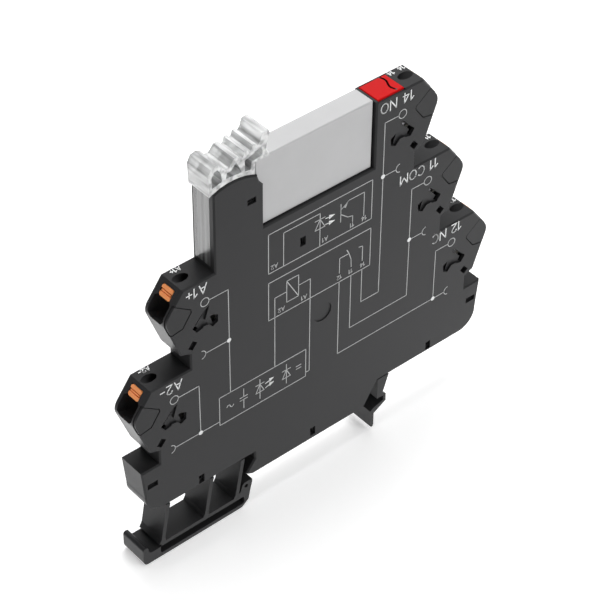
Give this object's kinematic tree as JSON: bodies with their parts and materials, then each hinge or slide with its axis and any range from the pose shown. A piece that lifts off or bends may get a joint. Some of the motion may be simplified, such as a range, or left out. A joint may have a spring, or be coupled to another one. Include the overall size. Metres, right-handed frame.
{
  "type": "interface relay",
  "caption": "Slim rail-mounted interface relay: stepped grey socket with push-in terminals, orange release buttons, clear ejector lever and a plug-in changeover relay",
  "frame": {"origin": "middle of the 35 mm rail seat, at mid thickness, on the seat plane", "axes": "+Z away from the rail through the plug-in relay, +X across the rail towards the relay contact terminals, -Y out of the printed side cover along the rail"},
  "size_m": [0.0892, 0.0064, 0.0901],
  "materials": {
    "black_component": "moulded component body",
    "board": "green circuit board",
    "bobbin_plastic": "natural moulded plastic",
    "capacitor_blue": "dipped yellow body",
    "clear_plastic": "clear moulded plastic",
    "contact_alloy": "contact alloy strip",
    "copper_wire": "enamelled winding",
    "dark_housing": "fine matte grain, moulded dark grey",
    "grey_case": "light grey moulded cap",
    "led_lens": "tinted lens",
    "orange_plastic": "moulded orange",
    "red_plastic": "moulded red",
    "resistor_body": "lacquered body",
    "soft_iron": "annealed iron",
    "spring_steel": "rolled strip",
    "tinned_copper": "tin plated strip"
  },
  "bodies": {
    "socket": {"circuit_board": "board", "clamp_spring_11": "spring_steel", "clamp_spring_12": "spring_steel", "clamp_spring_14": "spring_steel", "clamp_spring_a1": "spring_steel", "clamp_spring_a2": "spring_steel", "current_bar_11": "tinned_copper", "current_bar_12": "tinned_copper", "current_bar_14": "tinned_copper", "current_bar_a1": "tinned_copper", "current_bar_a2": "tinned_copper", "film_capacitor": "capacitor_blue", "housing_shell": "dark_housing", "light_pipe": "clear_plastic", "marker_tag": "red_plastic", "rectifier": "black_component", "resistor_1": "resistor_body", "resistor_2": "resistor_body", "side_cover": "dark_housing", "socket_contact_11": "tinned_copper", "socket_contact_12": "tinned_copper", "socket_contact_14": "tinned_copper", "socket_contact_a1": "tinned_copper", "socket_contact_a2": "tinned_copper", "status_led": "led_lens", "varistor": "capacitor_blue"},
    "relay": {"relay_case": "grey_case", "relay_base": "grey_case", "coil_bobbin": "bobbin_plastic", "coil_winding": "copper_wire", "coil_core": "soft_iron", "magnet_yoke": "soft_iron", "relay_pin_a1": "tinned_copper", "relay_pin_a2": "tinned_copper", "common_pin": "tinned_copper", "resting_contact": "contact_alloy", "working_contact": "contact_alloy"},
    "lever": {"ejector_lever": "clear_plastic"},
    "armature_body": {"armature": "soft_iron"},
    "card": {"actuator_card": "bobbin_plastic"},
    "changeover": {"moving_contact": "contact_alloy"},
    "button_a1": {"push_button_a1": "orange_plastic"},
    "button_a2": {"push_button_a2": "orange_plastic"},
    "button_14": {"push_button_14": "orange_plastic"},
    "button_11": {"push_button_11": "orange_plastic"},
    "button_12": {"push_button_12": "orange_plastic"}
  },
  "joints": [
    {"name": "press_a1", "type": "slide", "parent": "socket", "child": "button_a1", "axis": [0.8599, 0, -0.5105], "range_m": [0, 0.0012], "stiffness_N_per_m": 5000},
    {"name": "press_a2", "type": "slide", "parent": "socket", "child": "button_a2", "axis": [0.8599, 0, -0.5105], "range_m": [0, 0.0012], "stiffness_N_per_m": 5000},
    {"name": "press_14", "type": "slide", "parent": "socket", "child": "button_14", "axis": [-0.8599, 0, -0.5105], "range_m": [0, 0.0012], "stiffness_N_per_m": 5000},
    {"name": "press_11", "type": "slide", "parent": "socket", "child": "button_11", "axis": [-0.8599, 0, -0.5105], "range_m": [0, 0.0012], "stiffness_N_per_m": 5000},
    {"name": "press_12", "type": "slide", "parent": "socket", "child": "button_12", "axis": [-0.8599, 0, -0.5105], "range_m": [0, 0.0012], "stiffness_N_per_m": 5000},
    {"name": "eject", "type": "hinge", "parent": "socket", "child": "lever", "pos_m": [-0.0207, 0, 0.0633], "axis": [0, -1, 0], "range_deg": [0, 28]},
    {"name": "relay_lift", "type": "slide", "parent": "socket", "child": "relay", "axis": [0, 0, 1], "range_m": [0, 0.00308]},
    {"name": "armature_tilt", "type": "hinge", "parent": "relay", "child": "armature_body", "pos_m": [-0.0143, 0, 0.0631], "axis": [0, 1, 0], "range_deg": [0, 3.44], "stiffness_Nm_per_rad": 0.05},
    {"name": "card_push", "type": "slide", "parent": "relay", "child": "card", "axis": [1, 0, 0], "range_m": [0, 0.000703]},
    {"name": "contact_swing", "type": "hinge", "parent": "relay", "child": "changeover", "pos_m": [0.0062, 0, 0.0631], "axis": [0, 1, 0], "range_deg": [0, 3.35]}
  ],
  "couplings": [
    {"joint": "relay_lift", "follows": "eject", "m_per_rad": 0.0063},
    {"joint": "card_push", "follows": "armature_tilt", "m_per_rad": 0.0117},
    {"joint": "contact_swing", "follows": "armature_tilt", "ratio": 0.975}
  ]
}
